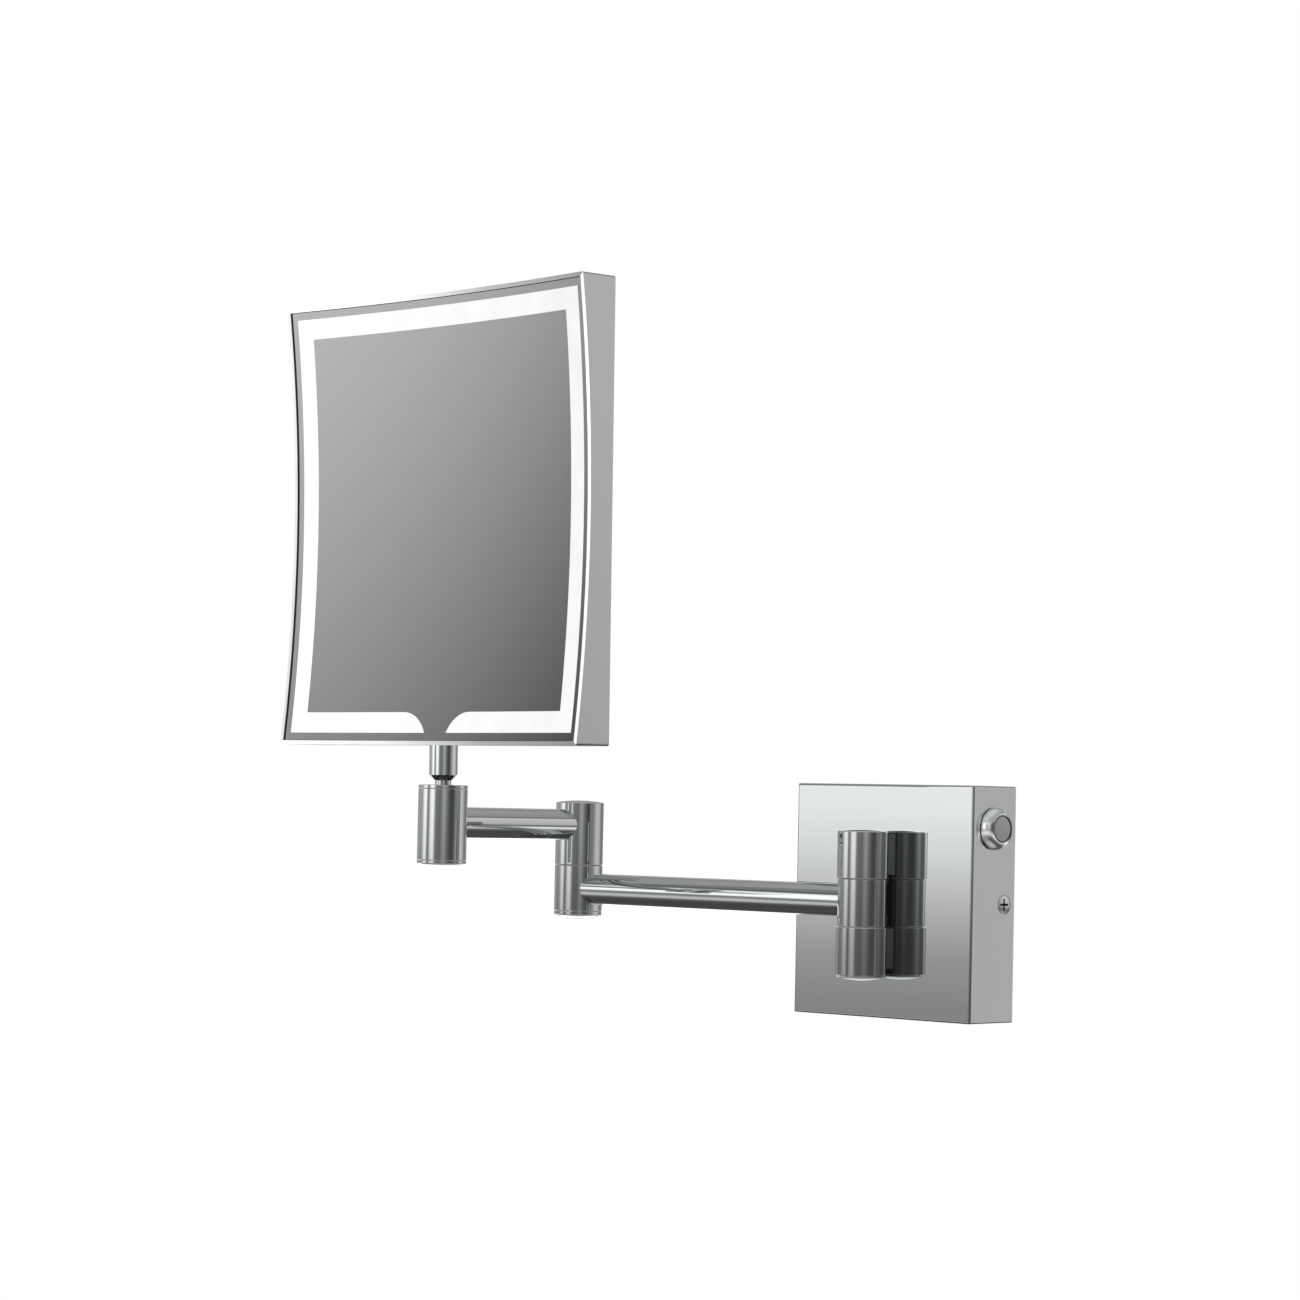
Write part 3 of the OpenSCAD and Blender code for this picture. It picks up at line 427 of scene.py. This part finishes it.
def mirror(t, shader, place):
    shades(t, shader, noise(t, place, 12, 2), (0.895, 0.905, 0.898), (0.905, 0.913, 0.907))
    shader.inputs["Metallic"].default_value = 1.0
    t.put(shader.inputs["Roughness"], t.remap(noise(t, place, 40, 4), 0.3, 0.8, 0.0, 0.012))


def lit_glass(t, shader, place):
    frost = noise(t, place, 2500, 2)
    shades(t, shader, frost, (0.22, 0.225, 0.225), (0.27, 0.27, 0.27))
    t.put(shader.inputs["Roughness"], t.remap(frost, 0.3, 0.7, 0.45, 0.6))
    left = t.remap(t.axis(place, "X"), HEAD_AT.x - HALF, HEAD_AT.x + HALF, 0.11, 0.0)
    give_off(t, shader, t.math("ADD", left, speckle(t, place, 60, 1, 0.64, 0.70)))
    bump(t, shader, frost, 0.00001, 0.4)


def turned_metal(low, high, rough_low, rough_high, grain=(900, 900, 60)):
    def build(t, shader, place):
        lines = noise(t, stretched(t, place, grain), 1.0, 3)
        shades(t, shader, lines, low, high)
        shader.inputs["Metallic"].default_value = 1.0
        t.put(shader.inputs["Roughness"], t.remap(lines, 0.2, 0.8, rough_low, rough_high))
        bump(t, shader, lines, 0.00001, 0.3)
    return build


BUTTON_RING_PITCH = 0.00025


def button_metal(t, shader, place):
    """Satin face with the fine rings that turning leaves round the button's axis."""
    turns = t.math("MULTIPLY", t.from_x_line(place, SWITCH), 2 * math.pi / BUTTON_RING_PITCH)
    rings = t.math("MULTIPLY_ADD", t.math("SINE", turns), 0.5, 0.5)
    shades(t, shader, rings, (0.48, 0.487, 0.487), (0.54, 0.547, 0.547))
    shader.inputs["Metallic"].default_value = 1.0
    t.put(shader.inputs["Roughness"], speckle(t, place, 700, 3, 0.32, 0.42))
    bump(t, shader, rings, 0.000008, 0.4)


def plastic(low, high, roughness=0.4, grain=1400, depth=0.00003):
    def build(t, shader, place):
        cloud = noise(t, place, 45, 3)
        shades(t, shader, cloud, low, high)
        texture = noise(t, place, grain, 2)
        t.put(shader.inputs["Roughness"], t.remap(texture, 0.3, 0.7, roughness, roughness + 0.12))
        bump(t, shader, texture, depth, 0.5)
    return build


def diode(t, shader, place):
    shades(t, shader, noise(t, place, 900, 2), (0.86, 0.70, 0.20), (0.95, 0.82, 0.36))
    t.put(shader.inputs["Roughness"], speckle(t, place, 300, 2, 0.25, 0.4))


SKINS = {
    "chrome": chrome_of(0.64),
    "mirror": mirror,
    "lit_glass": lit_glass,
    "button_metal": button_metal,
    "steel": turned_metal((0.52, 0.53, 0.54), (0.66, 0.67, 0.67), 0.28, 0.42),
    "screw_steel": turned_metal((0.70, 0.71, 0.71), (0.80, 0.81, 0.81), 0.12, 0.22),
    "spring_steel": turned_metal((0.22, 0.22, 0.23), (0.34, 0.34, 0.36), 0.25, 0.4),
    "brass": turned_metal((0.66, 0.47, 0.18), (0.82, 0.63, 0.30), 0.2, 0.35),
    "opal": plastic((0.90, 0.90, 0.88), (0.95, 0.95, 0.93), 0.3),
    "nylon": plastic((0.50, 0.49, 0.44), (0.58, 0.57, 0.52), 0.4),
    "rubber": plastic((0.018, 0.018, 0.018), (0.035, 0.035, 0.034), 0.6, 2600, 0.00006),
    "white_plastic": plastic((0.82, 0.82, 0.80), (0.88, 0.88, 0.86), 0.4),
    "black_plastic": plastic((0.02, 0.02, 0.021), (0.04, 0.04, 0.042), 0.42),
    "circuit_board": plastic((0.84, 0.87, 0.85), (0.92, 0.94, 0.92), 0.35, 600),
    "led": diode,
    "lead_sheath": plastic((0.015, 0.015, 0.016), (0.032, 0.032, 0.034), 0.5, 2200, 0.00004),
    "wire_sheath": plastic((0.45, 0.035, 0.03), (0.58, 0.06, 0.05), 0.35),
}

# Nodes whose skin is a variant of their slot's. Their chrome levels sit above the plain 0.64 as
# painted light: brighter copies of the one chrome, family by family.
SPECIAL_SKINS = [
    # hinge barrels: painted shade on the wall side, a faint painted glow and a brighter copy of
    # the chrome as painted light
    (("upper_lug", "lower_lug", "arm1_barrel"), "hinge_chrome",
     chrome_of(0.70, painted_shade_behind_hinge, 0.005)),
    # pin cap: a brighter copy of the chrome and a painted glow on its dome, both painted light
    (("pin_cap",), "cap_chrome", chrome_of(0.70, glow=painted_light_under_cap)),
    # tubes, elbow and socket: brighter copies of the chrome, painted light
    (("arm1_tube", "arm2_tube"), "tube_chrome", chrome_of(0.69)),
    (("elbow_lower", "elbow_cap", "elbow_upper"), "elbow_chrome", chrome_of(0.73)),
    (("socket_barrel", "socket_collar", "socket_plug"), "socket_chrome", chrome_of(0.75)),
    # stem: a brighter copy of the chrome as painted light, with painted shade under its foot
    (("stem",), "stem_chrome", chrome_of(0.86, painted_shade_under_stem)),
    # switch ring: satin chrome made brighter, with a painted glow on its front, both painted light
    (("switch_bezel",), "bezel_chrome", chrome_of(0.89, glow=painted_light_beside_bezel,
                                                  rough=(0.18, 0.24))),
    (("side_screws",), "screw_head", screw_head),
]


# ---------- exact shading normals for the CAD's round faces ----------

class Round:
    """A cylinder, cone, sphere or torus: how far a point is off it, and its normal there."""

    def __init__(self, kind, at, axis=Z, r=0.0, tube=0.0, slope=0.0):
        self.kind, self.at, self.axis = kind, Vector(at), Vector(axis).normalized()
        self.r, self.tube, self.slope = r, tube, slope

    def split(self, p):
        d = p - self.at
        h = d.dot(self.axis)
        out = d - h * self.axis
        r = out.length
        return h, r, out / r if r > 1e-9 else self.axis

    def off(self, p):
        if self.kind == "sphere":
            return abs((p - self.at).length - self.r)
        h, r, out = self.split(p)
        if self.kind == "torus":
            return abs(math.hypot(r - self.r, h) - self.tube)
        return abs(r - self.r - self.slope * h)

    def normal(self, p):
        if self.kind == "sphere":
            return (p - self.at).normalized()
        h, r, out = self.split(p)
        if self.kind == "torus":
            return (p - self.at - self.r * out).normalized()
        return (out - self.slope * self.axis).normalized()


TOLERANCE, HEAD_TOLERANCE = 3e-5, 6e-5
LEAST_MATCH = 0.9


def exact_normals(node, surfaces, tolerance=TOLERANCE):
    """Gives each face that lies on one of the surfaces that surface's own normals."""
    mesh = NODES[node].data
    normals = [None] * len(mesh.loops)
    for face in mesh.polygons:
        face.use_smooth = True
        points = [mesh.vertices[v].co for v in face.vertices]
        best, best_match = None, LEAST_MATCH
        for s in surfaces:
            if all(s.off(p) < tolerance for p in points):
                match = abs(s.normal(face.center).dot(face.normal))
                if match > best_match:
                    best, best_match = s, match
        for loop, p in zip(face.loop_indices, points):
            if best is None:
                normals[loop] = face.normal.copy()
            else:
                n = best.normal(p)
                normals[loop] = n if n.dot(face.normal) > 0 else -n
    mesh.normals_split_custom_set(normals)


def turned_faces(axis_at, r, z0, z1, rim=0.0005, dome0=0.0, dome1=0.0):
    """The round faces of a barrel from z0 to z1, each end flat or domed by that much."""
    faces = [Round("cyl", axis_at, Z, r)]
    for z, dome, s in ((z0, dome0, 1), (z1, dome1, -1)):
        edge = rim if dome else PLAIN_EDGE
        foot = r - edge
        faces.append(Round("torus", axis_at + Z * (z + s * edge), Z, foot, edge))
        if dome:
            cap = (foot ** 2 + dome ** 2) / (2 * dome)
            faces.append(Round("sphere", axis_at + Z * (z + s * (cap - dome)), Z, cap))
    return faces


# Pieces turned about a vertical axis: that axis, radius, bottom, top, the rest of turned_faces's
# settings, and the radii of the bores
TURNED = {
    "upper_lug": (HINGE, BARREL_R, 0.00965, 0.0298, {"dome1": BARREL_DOME}, ()),
    "lower_lug": (HINGE, BARREL_R, -0.0315, -0.0111, {}, ()),
    "pin_cap": (HINGE, BARREL_R - 0.0002, -0.03225, -0.03165, {"rim": 0.0003, "dome0": CAP_DOME},
                (0.00745,)),
    "arm1_barrel": (HINGE, EYE_R, -0.0108, 0.00935, {}, ()),
    "elbow_lower": (ELBOW, BARREL_R, -0.0101, 0.0106, {}, ()),
    "elbow_cap": (ELBOW, BARREL_R - 0.0001, -0.0122, -0.01025, {"rim": 0.0006, "dome0": CAP_DOME},
                  (0.00835,)),
    "elbow_upper": (ELBOW, BARREL_R, 0.0109, 0.0395, {"dome1": BARREL_DOME}, ()),
    "socket_barrel": (SOCKET, BARREL_R, 0.0126, 0.04415, {}, (0.0069,)),
    "socket_collar": (SOCKET, BARREL_R - 0.00005, 0.0442, 0.0459,
                      {"rim": 0.0004, "dome1": 0.00001}, (0.0075,)),
    "socket_plug": (SOCKET, BARREL_R - 0.00005, 0.0109, 0.0125, {"dome0": 0.0004}, (0.00875,)),
}


def cylinders(at, axis, *radii):
    return [Round("cyl", at, axis, r) for r in radii]


def give_exact_normals():
    for node, (at, r, z0, z1, settings, bores) in TURNED.items():
        exact_normals(node, turned_faces(at, r, z0, z1, **settings) + cylinders(at, Z, *bores))
    shade_arms_and_stem()
    shade_switch()
    shade_wall_box()
    shade_head()


def shade_arms_and_stem():
    exact_normals("arm1_tube", cylinders(HINGE, X, TUBE_R, TUBE_BORE_R)
                  + cylinders(HINGE, Z, EYE_R) + cylinders(ELBOW, Z, BARREL_R))
    exact_normals("arm2_tube", cylinders(ELBOW + Z * ARM2_Z, Y, TUBE_R, TUBE_BORE_R)
                  + cylinders(ELBOW, Z, BARREL_R) + cylinders(SOCKET, Z, BARREL_R))
    up = HEAD_TURN @ Z
    ball = Round("sphere", BALL, r=BALL_R)
    cone = Round("cyl", BALL + up * 0.0109, up, NECK_R, slope=(STEM_R - NECK_R) / 0.0024)
    exact_normals("stem", cylinders(BALL, up, STEM_R, NECK_R) + [cone]
                  + cylinders(BALL, up, 0.002, 0.00125) + [ball])
    exact_normals("ball", [ball] + cylinders(BALL, up, 0.002))


def shade_switch():
    bezel = Round("torus", SWITCH + X * 0.0004, X, 0.0047, 0.0044)
    exact_normals("switch_bezel", [bezel] + cylinders(SWITCH, X, 0.0091, 0.008, 0.00595))
    button_r, rise, edge, front = 0.0049, 0.00015, 0.0004, 0.0046
    crown_r = (button_r ** 2 + rise ** 2) / (2 * rise)
    exact_normals("switch_button", cylinders(SWITCH, X, button_r + edge, 0.0059) + [
        Round("torus", SWITCH + X * (front - edge), X, button_r, edge),
        Round("sphere", SWITCH + X * (front + rise - crown_r), r=crown_r)])
    exact_normals("switch_seal", cylinders(SWITCH, X, 0.009, 0.00805))


def shade_wall_box():
    side, front = BOX_W / 2 - BOX_EDGE, -(BOX_D - BOX_EDGE)
    edges = [Round("cyl", (sx * side, 0, sz * side), Y, BOX_EDGE)
             for sx in (-1, 1) for sz in (-1, 1)]
    edges += [Round("cyl", (0, front, s * side), X, BOX_EDGE) for s in (-1, 1)]
    edges += [Round("cyl", (s * side, front, 0), Z, BOX_EDGE) for s in (-1, 1)]
    exact_normals("cover", edges + cylinders(SWITCH, X, 0.0081))


def shade_head():
    mirror_centre = head_point(0, FACE_Y, 0)

    def shell(depth):
        return Round("sphere", mirror_centre, r=MIRROR_R + depth)

    diffuser = GLASS_BACK + DIFFUSER_GAP
    shells = [shell(depth) for depth in (RECESS, GLASS_BACK, GLASS_BACK + SEAL_T, diffuser,
                                         diffuser + DIFFUSER_T)]
    notch_z = -(HALF - BAND_INSET - BAND_W) - NOTCH_R
    notch = [Round("cyl", head_point(x, 0, notch_z), HEAD_TURN @ Y, r)
             for x in (-NOTCH_AT, NOTCH_AT) for r in (NOTCH_R, NOTCH_R + 0.00002)]
    for node in ("mirror_glass", "light_window", "glass_seal", "diffuser"):
        exact_normals(node, shells + notch, HEAD_TOLERANCE)
    exact_normals("back_cover", [])
    core = HALF - HEAD_EDGE
    corners = [Round("cyl", head_point(sx * core, 0, sz * core), HEAD_TURN @ Y, HEAD_EDGE)
               for sx in (-1, 1) for sz in (-1, 1)]
    rim_r = math.sqrt(MIRROR_R ** 2 - HALF ** 2)
    rims = [Round("cyl", mirror_centre, HEAD_TURN @ axis, rim_r) for axis in (X, Z)]
    ledge = GLASS_BACK + SEAL_T
    exact_normals("head_frame", corners + rims + [shell(ledge), shell(ledge + 0.0022)],
                  HEAD_TOLERANCE)


LIP_BACK = 0.0115


def line_lip(black, side_rims, long_rims):
    """The wall from the head's rim down to the glass is black, and the rims get painted light
    standing for the lit band.
    """
    mesh = NODES["head_frame"].data
    for material in (black, side_rims, long_rims):
        mesh.materials.append(material)
    back = HEAD_TURN.inverted()
    for face in mesh.polygons:
        at = back @ (face.center - HEAD_AT)
        facing = back @ face.normal
        out, inward = max((abs(at.x), -facing.x * at.x), (abs(at.z), -facing.z * at.z))
        faces_front = facing.y < -0.7
        if abs(out - (HALF - RIM_W)) < 2e-5 and inward > 0 and at.y < LIP_BACK:
            face.material_index = 1
        elif faces_front and abs(at.x) > HALF - RIM_W:
            face.material_index = 2
        elif faces_front and abs(at.z) > HALF - RIM_W:
            face.material_index = 3


SCREW_BULGE, CROSS_R, CROSS_DEPTH = 0.2, 0.0028, 0.0012


def finish_side_screws(black):
    """Shades the heads of the wall box's side screws as low domes, and paints shade into the
    crossed slots with black rubber on their walls and floor.
    """
    mesh = NODES["side_screws"].data
    mesh.materials.append(black)
    normals = [None] * len(mesh.loops)
    for face in mesh.polygons:
        face.use_smooth = True
        depth = SIDE_SCREW_HEAD_X - abs(face.center.x)
        on_head = depth < 1e-5 and abs(face.normal.x) > 0.9
        for loop, v in zip(face.loop_indices, face.vertices):
            normals[loop] = face.normal.copy()
            if on_head:
                out = mesh.vertices[v].co - SIDE_SCREWS
                out.x = 0
                normals[loop] = (face.normal + SCREW_BULGE / SIDE_SCREW_R * out).normalized()
        wall_or_floor = face.normal.x * face.center.x > 0 or abs(face.normal.x) < 0.1
        from_axis = math.hypot(*(face.center - SIDE_SCREWS).yz)
        # painted shade: the slots' walls and floor take the black rubber
        if wall_or_floor and 1e-4 < depth < CROSS_DEPTH and from_axis < CROSS_R:
            face.material_index = 1
    mesh.normals_split_custom_set(normals)


def main():
    make_camera()
    make_world()
    make_reflector()
    make_lights()
    make_floor()
    bpy.context.scene.view_settings.view_transform = "Standard"
    skins = {slot: material_of("skin_" + slot, build) for slot, build in SKINS.items()}
    for name, obj in NODES.items():
        obj.data.materials.clear()
        obj.data.materials.append(skins[SLOT_OF[name]])
    give_exact_normals()
    for nodes, name, build in SPECIAL_SKINS:
        material = material_of("skin_" + name, build)
        for node in nodes:
            NODES[node].data.materials[0] = material
    # the lip is black rubber; both rim skins are chrome with painted light as emission
    line_lip(skins["rubber"],
             material_of("skin_side_rims_painted_light", chrome_of(0.64, glow=0.73)),
             material_of("skin_long_rims_painted_light", chrome_of(0.64, glow=painted_light_of_long_rims)))
    finish_side_screws(skins["rubber"])


main()
